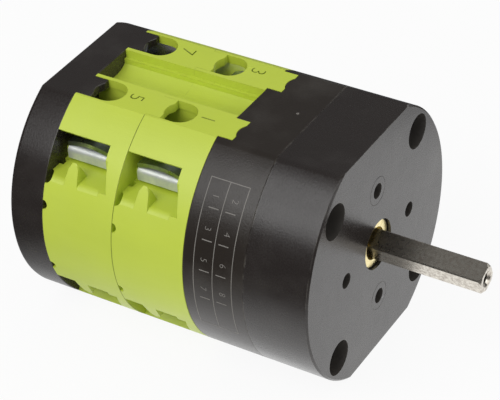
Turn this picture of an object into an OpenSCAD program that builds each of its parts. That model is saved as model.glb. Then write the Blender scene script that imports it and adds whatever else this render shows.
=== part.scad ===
// Rotary cam switch: a panel-mounted index head, two contact decks and an end plate.
// The shaft axis is Y, the shaft points to -Y, Z is up, and Y = 0 is the face on the panel.
// Decks are drawn in their own frame, where y = 0 is the deck's front face.

/* [Body] */
// Radius of the round sides
body_r = 30.5; // [30.5:0.1:31.5]
// Half height between the top and bottom flats
flat_z = 27; // [27:0.1:27.4]
// Length of the front housing
front_len = 15.1; // [15:0.1:16]
// Length of the index housing
index_len = 14.7; // [14.6:0.1:16]
// Number of contact decks
deck_count = 2; // [1:1:2]
// Length that one contact deck adds
deck_pitch = 17.8; // [17.8:0.1:18.4]
// Thickness of the end plate
plate_len = 8.8; // [8.8:0.1:10]

/* [Shaft] */
// Width of the square shaft across its flats
shaft_square = 5; // [4.8:0.1:5]
// How far the shaft stands out of the panel face
shaft_out = 25.4; // [20:0.1:40]
// Core radius of the threaded hole for the knob screw
knob_hole_r = 1.25; // [1:0.05:1.5]
// Turn between the two switch positions, in degrees
throw_angle = 45; // [45:1:46]

/* [Panel fixing] */
// Pitch circle of the four panel screws
panel_pcd = 28; // [28:0.1:28.5]
// Radius of a panel screw hole
panel_hole_r = 1.75; // [1.5:0.05:2]
// Half spacing of the four deep screw wells
well_half = 18; // [17.8:0.1:18.2]
// Radius of a screw well
well_r = 4; // [3.8:0.1:4.1]

/* [Contacts] */
// Outward stroke of a plunger over the throw
stroke = 2.2; // [1.8:0.1:2.2]
// Distance of a terminal screw from the middle plane
terminal_x = 10; // [10:0.05:10.1]
// Place of a terminal screw behind its deck's front face
terminal_y = 11.4; // [11.3:0.05:11.4]
// Radius of the screwdriver hole over a terminal
access_r = 3.65; // [3.5:0.05:3.65]

/* [Hidden] */
$fn = 96;

// Stations along the shaft
index_y = front_len;
decks_y = front_len + index_len;
plate_y = decks_y + deck_count * deck_pitch;
rear_y = plate_y + plate_len;

// Colours
plastic_black = "#2b2828";
plastic_lime = "#b9cf45";
plastic_cream = "#d8d2bd";
plated_steel = "#b9bbb5";
brass = "#cdb35a";
silver = "#d5d5d2";

// Clearances
run_gap = 0.05;
slide_gap = 0.1;
fit_gap = 0.02;

// Front housing
front_wall = 3;
shell_wall = 2.3;
collar_r = 5.4;
bore_mouth_r = 5.75;
bore_mouth_y = 1.2;
panel_boss_r = 3.6;
panel_boss_y = 9.5;
panel_hole_y = 8.6;
stop_room_r = 10.3;
stop_ring_r = 12.3;
well_boss_r = 6;
well_floor_y = 12;
edge_chamfer = 0.4;

// Housing screws and tie screws
screw_r = 1.7;
screw_hole_r = 1.9;
screw_head_r = 3.3;
screw_head_h = 2.4;
housing_screw_end = decks_y - 4.8;
index_boss_r = 4.6;
tie_z = 18.8;
tie_head_r = 3.4;
tie_head_h = 2.2;
tie_sink_r = 3.8;
tie_sink_y = rear_y - 2.8;
tie_boss_r = 4.4;
nut_r = 2.6;
nut_y0 = decks_y - 9.6;
nut_y1 = decks_y - 2.8;

// Index housing
index_floor = 2.6;
journal_r = 6;
star_y0 = index_y + 2.5;
star_y1 = index_y + 9.5;
star_mid_r = 9.6;
star_wave = 0.7;
star_lobes = 8;
star_hub_r = 5.6;
leaf_y0 = star_y0 + 1;
leaf_y1 = star_y1 - 1;
leaf_x = 14.2;
leaf_width = 3;
leaf_half_z = 12.8;
leaf_t = 0.5;
leaf_gap = 0.12;
leaf_depth = leaf_x - (star_mid_r - star_wave + leaf_gap + leaf_t / 2);
leaf_post_x0 = 12.9;
leaf_post_x1 = 15.9;
leaf_post_z0 = 11.2;
leaf_post_z1 = 14.6;

// Collar, clip and stop parts
collar_face_y = 0.8;
collar_open_r = 3.75;
collar_open_y = 2.6;
flange_r = 7;
flange_y0 = front_wall + slide_gap;
flange_y1 = flange_y0 + 1.5;
clip_y0 = flange_y1 + fit_gap;
clip_t = 0.5;
clip_in_r = 3.1;
clip_out_r = 5.2;
groove_r = 3.05;
stop_y0 = clip_y0 + clip_t + slide_gap;
stop_y1 = stop_y0 + 3;
stop_disc_r = 7;
stop_lug_r = 9.9;
stop_lug_angle = 20;
stop_play = 0.4;
key_in_r = 7.4;
key_out_r = stop_ring_r;
key_angle = 18;

// Shaft
shaft_turn = 22.5;
shaft_corner_r = 3.35;
tip_chamfer = 0.7;
tip_r = 2.75;
mouth_r = 1.85;
mouth_depth = 0.6;
knob_hole_depth = 9;
tail_r = 2.4;
tail_y0 = plate_y - 0.3;
tail_y1 = plate_y + 4.8;
tail_bore_y = plate_y + 5.2;

// Deck shell
deck_floor = 2.4;
room_y = 4.4;
top_wall = 2;
cam_room_r = 10.2;
cover_in_r = 28.8;
cover_edge = 46.3;
plate_z = 17.5;
sheet_t = 1.2;
seat_z = plate_z - sheet_t;
sill_z = 13.8;
sill_round = 2;
window_flare = 2;
fin_tip = [24.9, 17.6];
fin_base_x = 23.4;
fin_half = [0.5, 1.2, 1.7];
pocket_x0 = 6;
pocket_y = 5.9;
flange_pocket = [19, 20.7];
core_r = 27.6;
core_x = 20.2;
core_z0 = 5.3;
core_z1 = 10.2;
tongue_len = 3.45;
tongue_half = 3.6;
slot_half = access_r;
sill_dip_r = 1;
sill_dip_x = [20, 22.1];
lip_notch_angle = 26.4;
lip_notch_r = 1.35;
lip_notch_floor_r = 27.1;
notch_angles = [14.5, -17];
notch_r = 1.1;
notch_floor_r = 28;

// Plunger and contact room
nose_r = 1.8;
nose_x = 10.9;
channel_half = nose_r + run_gap;
contact_room = [13.3, 18.6];
contact_room_z = 11.2;
spring_room_x = 28.2;
spring_room_z = 4.05;
head_x = [18.4, 23.2];
head_half = spring_room_z - slide_gap;
boss_r = 1.9;
boss_x = 25.2;
slider_y = [room_y + slide_gap, deck_pitch - slide_gap];
bridge_x = 17.3;
bridge_t = 1;
bridge_y = [8.4, 14.4];
bridge_half = 10.4;
tip_contact_r = 2;
tip_contact_h = 0.9;
tip_contact_z = 7.7;
spring_r = 2.9;
spring_wire = 0.25;
spring_turns = 4;

// Terminal parts
terminal_w = [6.2, 16.6];
terminal_xs = [7, 20.3];
flange_foot_z = 14.6;
leg_x = 11.98;
leg_foot_z = 5.4;
saddle_x = [6.9, 19.9];
saddle_rise = 0.9;
saddle_t = 1;
terminal_head_r = 3;
terminal_head_z = [19.4, 21.6];
terminal_screw_foot = 12.6;
slot_cut_w = 0.9;
slot_cut_d = 1.1;

// Cams
cam_y = [7.4, 15.2];
cam_hub_r = 5.6;
cam_rest_r = 8.9;
cam_lead = stroke / (throw_angle * PI / 180);
cam_margin = 11.25;
cam_high_r = cam_rest_r + cam_lead * cam_margin * PI / 180;
cam_low_r = cam_rest_r - cam_lead * (throw_angle + cam_margin) * PI / 180;
cam_ramp = throw_angle + 2 * cam_margin;
cam_dwell = (180 - 2 * cam_ramp) / 2;

// Solid of a section in X and Z, drawn along Y
module along_y(y0, y1) {
    translate([0, y1, 0]) rotate([90, 0, 0]) linear_extrude(height = y1 - y0) children();
}

// Solid of a section in Y and Z, drawn along X
module along_x(x0, x1) {
    translate([x0, 0, 0]) rotate([90, 0, 90]) linear_extrude(height = x1 - x0) children();
}

// Round bars along each axis
module bar_y(r, y0, y1, x = 0, z = 0) {
    translate([x, y0, z]) rotate([-90, 0, 0]) cylinder(r = r, h = y1 - y0);
}
module bar_x(r, x0, x1, y = 0, z = 0) {
    translate([x0, y, z]) rotate([0, 90, 0]) cylinder(r = r, h = x1 - x0);
}
module bar_z(r, z0, z1, x = 0, y = 0) {
    translate([x, y, z0]) cylinder(r = r, h = z1 - z0);
}

// Box between two corners
module block(low, high) {
    translate(low) cube(high - low);
}

// Copies on the right and left, on the top and bottom, and in all four quarters
module sides() {
    children();
    mirror([1, 0, 0]) children();
}
module ends() {
    children();
    mirror([0, 0, 1]) children();
}
module quarters() {
    sides() ends() children();
}

// Outline of the body: a circle with a flat at the top and the bottom
module outline(inset = 0) {
    intersection() {
        circle(r = body_r - inset, $fn = 180);
        square([2 * body_r, 2 * (flat_z - inset)], center = true);
    }
}

// Square section of the shaft, or of a hole that it drives
module shaft_section(gap = 0) {
    rotate(shaft_turn) intersection() {
        square(shaft_square + 2 * gap, center = true);
        circle(r = shaft_corner_r + gap);
    }
}

// Four points on a square with the given half side
function corners(h) = [for (x = [-h, h], z = [-h, h]) [x, z]];

// Four panel screws on their pitch circle
function panel_points() = [for (a = [0:90:270]) panel_pcd / 2 * [cos(a), sin(a)]];

// Ring sector in the X and Z plane, centred on an angle
module sector(r0, r1, mid, width) {
    steps = 6;
    angles = [for (i = [0:steps]) mid - width / 2 + i * width / steps];
    polygon(concat([for (a = angles) r1 * [cos(a), sin(a)]],
                   [for (i = [steps:-1:0]) r0 * [cos(angles[i]), sin(angles[i])]]));
}

// FRONT END

module front_housing() {
    color(plastic_black) difference() {
        intersection() {
            along_y(0, front_len) outline();
            rotate([-90, 0, 0]) rotate_extrude($fn = 180) polygon([
                [0, 0], [body_r - edge_chamfer, 0], [body_r + 0.01, edge_chamfer + 0.01],
                [body_r + 0.01, front_len], [0, front_len]]);
        }
        along_y(front_wall, front_len + 1) difference() {
            outline(shell_wall);
            for (p = corners(well_half)) translate(p) circle(r = well_boss_r);
        }
        for (p = corners(well_half)) {
            bar_y(well_r, -1, well_floor_y, p[0], p[1]);
            bar_y(screw_hole_r, well_floor_y - 1, front_len + 1, p[0], p[1]);
        }
        for (p = panel_points()) bar_y(panel_hole_r, -1, front_wall + 1, p[0], p[1]);
        bar_y(bore_mouth_r, -1, bore_mouth_y);
        bar_y(collar_r + run_gap, bore_mouth_y - 0.1, front_wall + 1);
    }
    color(plastic_black) stop_ring();
}

// Ring round the stop disc with the bosses of the panel screws, notched for the stop keys
module stop_ring() {
    difference() {
        along_y(front_wall, panel_boss_y) {
            circle(r = stop_ring_r);
            for (p = panel_points()) translate(p) circle(r = panel_boss_r);
        }
        bar_y(stop_room_r, front_wall - 1, panel_boss_y + 1);
        for (p = panel_points()) bar_y(panel_hole_r, front_wall - 1, panel_hole_y, p[0], p[1]);
        along_y(stop_y0, panel_boss_y + 1) for (s = [-1, 1])
            sector(stop_room_r - 1, key_out_r + 0.1, key_mid(s), key_angle + 0.6);
    }
}

// Middle angle of a stop key, clear of the lug by the stop play
function key_mid(s) = 90 + s * (throw_angle + stop_lug_angle + key_angle + 2 * stop_play) / 2;

module stop_keys() {
    color(brass) along_y(stop_y0 + slide_gap, stop_y1)
        for (s = [-1, 1]) sector(key_in_r, key_out_r, key_mid(s), key_angle);
}

module stop_disc() {
    color(plated_steel) along_y(stop_y0, stop_y1) difference() {
        union() {
            circle(r = stop_disc_r);
            sector(stop_disc_r - 1, stop_lug_r, 90 + throw_angle / 2, stop_lug_angle);
        }
        shaft_section(fit_gap);
    }
}

module shaft_collar() {
    color(brass) difference() {
        union() {
            bar_y(collar_r, collar_face_y, flange_y0 + 0.5);
            bar_y(flange_r, flange_y0, flange_y1);
        }
        bar_y(collar_open_r, collar_face_y - 1, collar_open_y);
        along_y(collar_open_y - 1, flange_y1 + 1) shaft_section(fit_gap);
    }
}

module shaft_clip() {
    color(plated_steel) along_y(clip_y0, clip_y0 + clip_t) difference() {
        circle(r = clip_out_r);
        circle(r = clip_in_r);
        rotate(shaft_turn) translate([0, -1.6]) square([clip_out_r + 1, 3.2]);
    }
}

module drive_shaft() {
    front = -shaft_out;
    color(plated_steel) {
        difference() {
            intersection() {
                along_y(front, tail_y0) shaft_section();
                rotate([-90, 0, 0]) rotate_extrude() polygon([
                    [0, front], [tip_r, front], [shaft_corner_r + 0.1, front + tip_chamfer],
                    [shaft_corner_r + 0.1, tail_y0], [0, tail_y0]]);
            }
            rotate([-90, 0, 0]) rotate_extrude() polygon([
                [0, front - 1], [mouth_r + 0.6, front - 1], [mouth_r, front],
                [knob_hole_r, front + mouth_depth], [knob_hole_r, front + knob_hole_depth],
                [0, front + knob_hole_depth + knob_hole_r / 2]]);
            along_y(clip_y0 - fit_gap, clip_y0 + clip_t + fit_gap) difference() {
                circle(r = shaft_corner_r + 1);
                circle(r = groove_r);
            }
        }
        bar_y(tail_r, tail_y0, tail_y1);
    }
}

// INDEX HEAD

// Radius of the star wheel at an angle, with a valley facing each detent spring
function star_r(a) = star_mid_r - star_wave * cos(star_lobes * a);

// Centre line of a detent spring: a strip with one nose in the middle
function leaf_line(z) = leaf_x - leaf_depth * exp(-pow(z / leaf_width, 2));
function leaf_slope(z) = 2 * z / pow(leaf_width, 2) * leaf_depth * exp(-pow(z / leaf_width, 2));
function leaf_point(z, side) =
    let (s = leaf_slope(z), n = sqrt(1 + s * s))
    [leaf_line(z) + side / n, z - side * s / n];

module index_housing() {
    color(plastic_black) difference() {
        along_y(index_y, decks_y) outline();
        along_y(index_y - 1, decks_y - index_floor) difference() {
            outline(shell_wall);
            for (p = corners(well_half)) translate(p) circle(r = index_boss_r);
            ends() translate([0, tie_z]) circle(r = tie_boss_r);
            quarters_2d() translate([leaf_post_x0, leaf_post_z0])
                square([leaf_post_x1 - leaf_post_x0, leaf_post_z1 - leaf_post_z0]);
        }
        ends() block([-tie_boss_r, index_y - 1, tie_z - tie_boss_r - 1],
                     [tie_boss_r, nut_y0, flat_z - shell_wall]);
        sides() for (z = [-1, 1]) block(
            [leaf_x - leaf_t, index_y - 1, z > 0 ? leaf_post_z0 - 1 : -leaf_half_z - 0.2],
            [leaf_x + leaf_t, leaf_y1 + 0.2, z > 0 ? leaf_half_z + 0.2 : -leaf_post_z0 + 1]);
        for (p = corners(well_half))
            bar_y(screw_r + run_gap, index_y - 1, housing_screw_end + 0.5, p[0], p[1]);
        ends() {
            bar_y(nut_r + run_gap, nut_y0 - 1, nut_y1, 0, tie_z);
            bar_y(screw_hole_r, nut_y1 - 1, decks_y + 1, 0, tie_z);
        }
        bar_y(journal_r + run_gap, decks_y - index_floor - 1, decks_y + 1);
        translate([0, decks_y, 0]) quarters() tongue_pocket();
    }
}

// Four quarters of a flat section
module quarters_2d() {
    children();
    mirror([1, 0]) children();
    mirror([0, 1]) {
        children();
        mirror([1, 0]) children();
    }
}

module star_wheel() {
    color(plastic_cream) difference() {
        union() {
            along_y(star_y0, star_y1) polygon(
                [for (i = [0:143]) star_r(i * 2.5) * [cos(i * 2.5), sin(i * 2.5)]]);
            bar_y(star_hub_r, stop_y1 + slide_gap, star_y0 + 0.5);
            bar_y(journal_r, star_y1 - 0.5, decks_y - slide_gap);
        }
        along_y(stop_y1, decks_y) shaft_section(fit_gap);
    }
}

// One detent spring on the right side
module detent_spring() {
    steps = 64;
    zs = [for (i = [0:steps]) leaf_half_z * (2 * i / steps - 1)];
    color(plated_steel) along_y(leaf_y0, leaf_y1) polygon(concat(
        [for (z = zs) leaf_point(z, leaf_t / 2)],
        [for (i = [steps:-1:0]) leaf_point(zs[i], -leaf_t / 2)]));
}
module detent_spring_right() { detent_spring(); }
module detent_spring_left() { mirror([1, 0, 0]) detent_spring(); }

// CONTACT DECKS

// Section of the channel along the top flat of the decks
module channel() {
    polygon([[-5.4, flat_z + 1], [-5.4, 25.1], [-4.6, 25.1], [-4.6, 23.9], [-3.4, 23.2], [-1.5, 22.8],
             [1.5, 22.8], [3.4, 23.2], [4.6, 23.9], [4.6, 25.1], [5.4, 25.1], [5.4, flat_z + 1]]);
}

// Forward tongue that closes the slot of the piece in front
module tongue() {
    difference() {
        block([terminal_x - tongue_half, -tongue_len, flat_z - top_wall],
              [terminal_x + tongue_half, 1, flat_z]);
        bar_z(access_r, flat_z - top_wall - 1, flat_z + 1, terminal_x, terminal_y - deck_pitch);
    }
}

// Room for a tongue in the piece in front
module tongue_pocket() {
    difference() {
        block([terminal_x - slot_half, -tongue_len - run_gap, flat_z - top_wall - run_gap],
              [terminal_x + slot_half, 1, flat_z + 1]);
        bar_z(access_r - run_gap, flat_z - top_wall - 1, flat_z + 2, terminal_x, terminal_y - deck_pitch);
    }
}

// Opening for the wires, between the shoulder cover and the sill, whose outer edge is rounded
module wire_window() {
    edge = [cos(cover_edge), sin(cover_edge)];
    round_z = sill_z - sill_round;
    round_x = sqrt(pow(body_r - sill_round, 2) - pow(round_z, 2));
    rounding = [for (a = [90, 72, 54, 36]) [round_x + sill_round * cos(a), round_z + sill_round * sin(a)]];
    polygon(concat([[flange_pocket[0], sill_z]], rounding, [[38, sill_z - 8], 38 * edge, 27 * edge]));
}

// Fin that stays on the sill between the ways of the two wires, its crest in line with the round side
module sill_fin() {
    intersection() {
        along_x(fin_base_x - 1, body_r + 2) translate([terminal_y, 0]) polygon([
            [-fin_half[2], sill_z - 1.6], [-fin_half[2], sill_z - 0.6], [-fin_half[1], fin_tip[1] - 1.2],
            [-fin_half[0], fin_tip[1]], [fin_half[0], fin_tip[1]], [fin_half[1], fin_tip[1] - 1.2],
            [fin_half[2], sill_z - 0.6], [fin_half[2], sill_z - 1.6]]);
        along_y(0, deck_pitch) polygon([
            [fin_base_x, sill_z - 1.6], [fin_base_x, sill_z], fin_tip,
            [body_r + 1.5, fin_tip[1] + 0.5], [body_r + 1.5, sill_z - 1.6]]);
    }
}

// Rooms of one terminal, in the upper right quarter
module terminal_rooms() {
    back = deck_pitch + 1;
    bar_z(access_r, flat_z - top_wall - 1, flat_z + 1, terminal_x, terminal_y);
    block([terminal_x - access_r, terminal_y, flat_z - top_wall - 1],
          [terminal_x + access_r, back, flat_z + 1]);
    along_y(pocket_y, back) intersection() {
        circle(r = cover_in_r);
        translate([pocket_x0, seat_z]) square([body_r, flat_z - top_wall - seat_z]);
    }
    along_y(pocket_y, back) translate([flange_pocket[0], flange_foot_z - 0.2])
        square([flange_pocket[1] - flange_pocket[0], seat_z - flange_foot_z + 1]);
    difference() {
        union() {
            along_y(room_y, back) wire_window();
            along_x(fin_base_x, body_r + 1)
                polygon([[room_y + 0.1, 22], [room_y - window_flare, sill_z], [room_y + 0.1, sill_z]]);
        }
        sill_fin();
    }
    bar_z(terminal_head_r - 0.3, terminal_screw_foot - 0.3, seat_z + 0.1, terminal_x, terminal_y);
    block([leg_x - 0.1, bridge_y[0] - 0.4, leg_foot_z - 0.2], [contact_room[0] + 0.1, back, seat_z + 0.1]);
    along_y(room_y, back) intersection() {
        circle(r = core_r);
        translate([core_x, core_z0]) square([body_r, core_z1 - core_z0]);
    }
}

// Rooms of the plunger, its bridge and its spring, on the right side
module plunger_rooms() {
    back = deck_pitch + 1;
    along_y(room_y, back) {
        translate([cam_room_r - 1, -channel_half]) square([contact_room[1] - cam_room_r, 2 * channel_half]);
        translate([contact_room[0], -contact_room_z])
            square([contact_room[1] - contact_room[0], 2 * contact_room_z]);
        translate([contact_room[1] - 0.1, -spring_room_z])
            square([spring_room_x - contact_room[1] + 0.1, 2 * spring_room_z]);
    }
}

module deck_shell() {
    difference() {
        union() {
            along_y(0, deck_pitch) outline();
            quarters() tongue();
        }
        bar_y(cam_room_r, deck_floor, deck_pitch + 1);
        bar_y(journal_r + run_gap, -1, deck_floor + 1);
        ends() {
            along_y(-1, deck_pitch + 1) channel();
            bar_y(screw_hole_r, -1, deck_pitch + 1, 0, tie_z);
        }
        quarters() terminal_rooms();
        sides() {
            plunger_rooms();
            for (a = notch_angles) rotate([0, -a, 0]) bar_x(notch_r, notch_floor_r, body_r + 1, deck_pitch, 0);
            rotate([0, -lip_notch_angle, 0]) bar_x(lip_notch_r, lip_notch_floor_r, body_r + 1, deck_pitch, 0);
            bar_x(sill_dip_r, sill_dip_x[0], sill_dip_x[1], deck_pitch, sill_z);
        }
    }
}

module contact_deck(d) {
    color(plastic_lime) translate([0, deck_y(d), 0]) deck_shell();
}

// Front face of a deck, counted from 1
function deck_y(d) = decks_y + (d - 1) * deck_pitch;

// END PLATE

module end_plate() {
    round_r = 1;
    color(plastic_black) difference() {
        union() {
            intersection() {
                along_y(plate_y, rear_y) outline();
                rotate([-90, 0, 0]) rotate_extrude($fn = 180) rounded_side(body_r + 0.01, round_r);
                along_x(-body_r, body_r) {
                    mirror([1, -1]) rounded_side(flat_z, round_r);
                    mirror([0, 1]) mirror([1, -1]) rounded_side(flat_z, round_r);
                }
            }
            translate([0, plate_y, 0]) quarters() tongue();
        }
        bar_y(tail_r + run_gap, plate_y - 1, tail_bore_y);
        ends() {
            bar_y(screw_hole_r, plate_y - 1, rear_y, 0, tie_z);
            bar_y(tie_sink_r, tie_sink_y, rear_y + 1, 0, tie_z);
        }
    }
}

// Half section of the plate with its rear edge rounded in three flats
module rounded_side(half, r) {
    square_to = rear_y - r;
    edge = [for (a = [0, 30, 60, 90]) [half - r + r * cos(a), square_to + r * sin(a)]];
    polygon(concat([[0, plate_y], [half, plate_y]], edge, [[0, rear_y]]));
}

// CAMS AND PLUNGERS

// Radius of a cam at an angle from the line of a plunger, repeating each half turn
function cam_r(a) =
    let (b = (a + cam_margin + 360) % 180)
    b < cam_ramp ? cam_high_r - cam_lead * b * PI / 180
    : b < cam_ramp + cam_dwell ? cam_low_r
    : b < 2 * cam_ramp + cam_dwell ? cam_low_r + cam_lead * (b - cam_ramp - cam_dwell) * PI / 180
    : cam_high_r;

module cam(d) {
    color(plastic_cream) translate([0, deck_y(d), 0]) difference() {
        union() {
            along_y(cam_y[0], cam_y[1]) polygon(
                [for (i = [0:159]) cam_r(i * 2.25) * [cos(i * 2.25), sin(i * 2.25)]]);
            bar_y(journal_r, slide_gap, deck_floor + 0.3);
            bar_y(cam_hub_r, deck_floor, deck_pitch - slide_gap);
        }
        along_y(0, deck_pitch) shaft_section(fit_gap);
    }
}

// Plungers are counted 1 left and 2 right in the first deck, 3 left and 4 right in the second
function plunger_deck(p) = ceil(p / 2);
module at_plunger(p) {
    translate([0, deck_y(plunger_deck(p)), 0]) mirror([p % 2, 0, 0]) children();
}

module plunger(p) {
    color(plastic_cream) at_plunger(p) {
        difference() {
            union() {
                bar_y(nose_r, slider_y[0], slider_y[1], nose_x, 0);
                block([nose_x, slider_y[0], -nose_r], [head_x[0] + 0.1, slider_y[1], nose_r]);
                block([head_x[0], slider_y[0], -head_half], [head_x[1], slider_y[1], head_half]);
                bar_x(boss_r, head_x[1] - 0.1, boss_x, terminal_y, 0);
            }
            block([bridge_x - fit_gap, bridge_y[0] - fit_gap, -head_half - 1],
                  [bridge_x + bridge_t + fit_gap, bridge_y[1] + fit_gap, head_half + 1]);
        }
    }
}

module contact_bridge(p) {
    color(brass) at_plunger(p) {
        block([bridge_x, bridge_y[0], -bridge_half], [bridge_x + bridge_t, bridge_y[1], bridge_half]);
        ends() bar_x(tip_contact_r, bridge_x - tip_contact_h, bridge_x + 0.1, terminal_y, tip_contact_z);
    }
}

// Closed tube of small rings that follows a coil along X
module coil(r, wire, x0, x1, turns) {
    ring = 6;
    per_turn = 14;
    count = turns * per_turn;
    x_step = (x1 - x0 - 2 * wire) / count;
    function centre_of(i) = [x0 + wire + i * x_step, r * cos(i * 360 / per_turn), r * sin(i * 360 / per_turn)];
    function ring_point(i, j) =
        let (a = i * 360 / per_turn, b = j * 360 / ring)
        centre_of(i) + wire * [sin(b), cos(b) * cos(a), cos(b) * sin(a)];
    points = [for (i = [0:count], j = [0:ring - 1]) ring_point(i, j)];
    sidewalls = [for (i = [0:count - 1], j = [0:ring - 1])
        [i * ring + j, i * ring + (j + 1) % ring, (i + 1) * ring + (j + 1) % ring, (i + 1) * ring + j]];
    caps = [[for (j = [ring - 1:-1:0]) j], [for (j = [0:ring - 1]) count * ring + j]];
    polyhedron(points = points, faces = concat(sidewalls, caps), convexity = 8);
}

module contact_spring(p) {
    color(plated_steel) at_plunger(p) translate([0, terminal_y, 0])
        coil(spring_r, spring_wire, head_x[1] + fit_gap, spring_room_x - fit_gap, spring_turns);
}

// TERMINALS

// Terminals of a deck are counted left top, left bottom, right top, right bottom
function terminal_deck(t) = ceil(t / 4);
module at_terminal(t) {
    place = (t - 1) % 4;
    translate([0, deck_y(terminal_deck(t)), 0]) mirror([place < 2 ? 1 : 0, 0, 0])
        mirror([0, 0, place % 2]) children();
}

module fixed_contact(t) {
    color(silver) at_terminal(t) difference() {
        union() {
            along_y(terminal_w[0], terminal_w[1]) {
                translate([terminal_xs[0], plate_z - sheet_t])
                    square([terminal_xs[1] - sheet_t - terminal_xs[0], sheet_t]);
                translate([terminal_xs[1] - sheet_t, plate_z - sheet_t]) intersection() {
                    circle(r = sheet_t);
                    square(sheet_t);
                }
                translate([terminal_xs[1] - sheet_t, flange_foot_z])
                    square([sheet_t, plate_z - sheet_t - flange_foot_z]);
            }
            block([leg_x, bridge_y[0], leg_foot_z], [leg_x + sheet_t, bridge_y[1], plate_z - sheet_t + 0.1]);
            bar_x(tip_contact_r, leg_x + sheet_t - 0.1, leg_x + sheet_t + tip_contact_h + 0.1,
                  terminal_y, tip_contact_z);
        }
        bar_z(screw_r + fit_gap, plate_z - sheet_t - 1, plate_z + 1, terminal_x, terminal_y);
    }
}

// Arched washer that presses the wires onto the terminal plate
module clamp_saddle(t) {
    half = (terminal_w[1] - terminal_w[0]) / 2;
    arch_r = (half * half + saddle_rise * saddle_rise) / (2 * saddle_rise);
    centre_z = plate_z + saddle_rise - arch_r;
    color(silver) at_terminal(t) difference() {
        intersection() {
            bar_x(arch_r + saddle_t, saddle_x[0], saddle_x[1], terminal_y, centre_z, $fn = 180);
            block([saddle_x[0], terminal_w[0], plate_z], [saddle_x[1], terminal_w[1], plate_z + 3]);
        }
        bar_x(arch_r, saddle_x[0] - 1, saddle_x[1] + 1, terminal_y, centre_z, $fn = 180);
        bar_z(screw_r + 0.2, plate_z - 1, plate_z + 4, terminal_x, terminal_y);
    }
}

// Cheese-head screw with a slot, its head up
module slotted_screw(head_r, head_z, foot_z) {
    difference() {
        union() {
            bar_z(head_r, head_z[0], head_z[1]);
            bar_z(screw_r, foot_z, head_z[0] + 0.1);
        }
        translate([-slot_cut_w / 2, -head_r - 1, head_z[1] - slot_cut_d])
            cube([slot_cut_w, 2 * head_r + 2, slot_cut_d + 1]);
    }
}

module terminal_screws() {
    color(plated_steel) for (t = [1:4 * deck_count]) at_terminal(t)
        translate([terminal_x, terminal_y, 0])
            slotted_screw(terminal_head_r, terminal_head_z, terminal_screw_foot);
}

// Screws that hold the front housing on the index housing
module housing_screws() {
    color(plated_steel) for (p = corners(well_half)) translate([p[0], well_floor_y, p[1]])
        rotate([90, 0, 0]) slotted_screw(screw_head_r, [0, screw_head_h], well_floor_y - housing_screw_end);
}

// Screws that clamp the decks between the end plate and the index housing
module tie_screws() {
    color(plated_steel) ends() translate([0, tie_sink_y, tie_z]) rotate([-90, 0, 0])
        slotted_screw(tie_head_r, [0, tie_head_h], nut_y0 + 1 - tie_sink_y);
}

module tie_nuts() {
    color(brass) ends() difference() {
        bar_y(nut_r, nut_y0, nut_y1 - 0.05, 0, tie_z);
        bar_y(screw_r + fit_gap, nut_y0 - 1, nut_y1 + 1, 0, tie_z);
    }
}

front_housing();
index_housing();
for (d = [1:deck_count]) contact_deck(d);
end_plate();
drive_shaft();
shaft_collar();
shaft_clip();
stop_disc();
stop_keys();
star_wheel();
detent_spring_left();
detent_spring_right();
for (d = [1:deck_count]) cam(d);
for (p = [1:2 * deck_count]) plunger(p);
for (p = [1:2 * deck_count]) contact_bridge(p);
for (p = [1:2 * deck_count]) contact_spring(p);
for (t = [1:4 * deck_count]) fixed_contact(t);
for (t = [1:4 * deck_count]) clamp_saddle(t);
terminal_screws();
housing_screws();
tie_screws();
tie_nuts();
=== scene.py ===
"""Finishes and fine detail of a rotary cam switch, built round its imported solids.

The solids give every working shape. This script softens the edges of the moulded housings, cuts
shallow marks and figures into them, prints a ruled label on the round side, gives each piece its
finish, and sets up the floor, the lights and the camera.
"""

from __future__ import annotations

import logging
import math
from abc import ABC, abstractmethod
from collections.abc import Iterable
from dataclasses import dataclass, field
from enum import Enum
from typing import Any

import bpy
from mathutils import Matrix, Vector

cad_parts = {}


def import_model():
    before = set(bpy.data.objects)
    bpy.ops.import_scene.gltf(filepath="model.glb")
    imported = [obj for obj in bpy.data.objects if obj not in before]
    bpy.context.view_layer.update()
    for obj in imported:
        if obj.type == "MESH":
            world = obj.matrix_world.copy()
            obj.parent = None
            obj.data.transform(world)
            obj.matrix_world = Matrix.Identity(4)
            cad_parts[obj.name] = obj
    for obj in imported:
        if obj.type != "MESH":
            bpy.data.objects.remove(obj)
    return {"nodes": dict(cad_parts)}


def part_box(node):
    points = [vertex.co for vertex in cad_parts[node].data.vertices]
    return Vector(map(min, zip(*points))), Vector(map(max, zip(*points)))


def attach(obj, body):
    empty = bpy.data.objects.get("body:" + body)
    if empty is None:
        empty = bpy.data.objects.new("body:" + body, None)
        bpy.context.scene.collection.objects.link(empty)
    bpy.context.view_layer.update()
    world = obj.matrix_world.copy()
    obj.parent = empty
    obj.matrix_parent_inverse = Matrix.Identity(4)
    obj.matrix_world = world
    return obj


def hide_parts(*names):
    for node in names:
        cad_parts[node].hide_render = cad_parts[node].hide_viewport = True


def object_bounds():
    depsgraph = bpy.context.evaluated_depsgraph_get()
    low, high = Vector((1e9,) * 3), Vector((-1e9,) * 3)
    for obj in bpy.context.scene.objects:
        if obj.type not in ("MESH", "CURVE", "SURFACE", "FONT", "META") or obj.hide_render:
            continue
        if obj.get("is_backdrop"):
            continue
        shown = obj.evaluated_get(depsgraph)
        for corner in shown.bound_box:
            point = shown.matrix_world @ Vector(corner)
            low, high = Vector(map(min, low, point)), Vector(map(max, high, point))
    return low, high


LOG = logging.getLogger("switch")
MM = 0.001
PHOTO_WIDTH = 500
DECK_PITCH = 17.8 * MM
DECK_EDGE = 0.2 * MM
DISPLAY_MAX = 255
MERGE_GAP = 0.001 * MM
NOISE_MEAN = 0.5
SKIN_OUTPUTS = {"Color": "Color", "Roughness": "Float", "Normal": "Vector"}

Colour = tuple[float, float, float]
Point = tuple[float, float, float]


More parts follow.
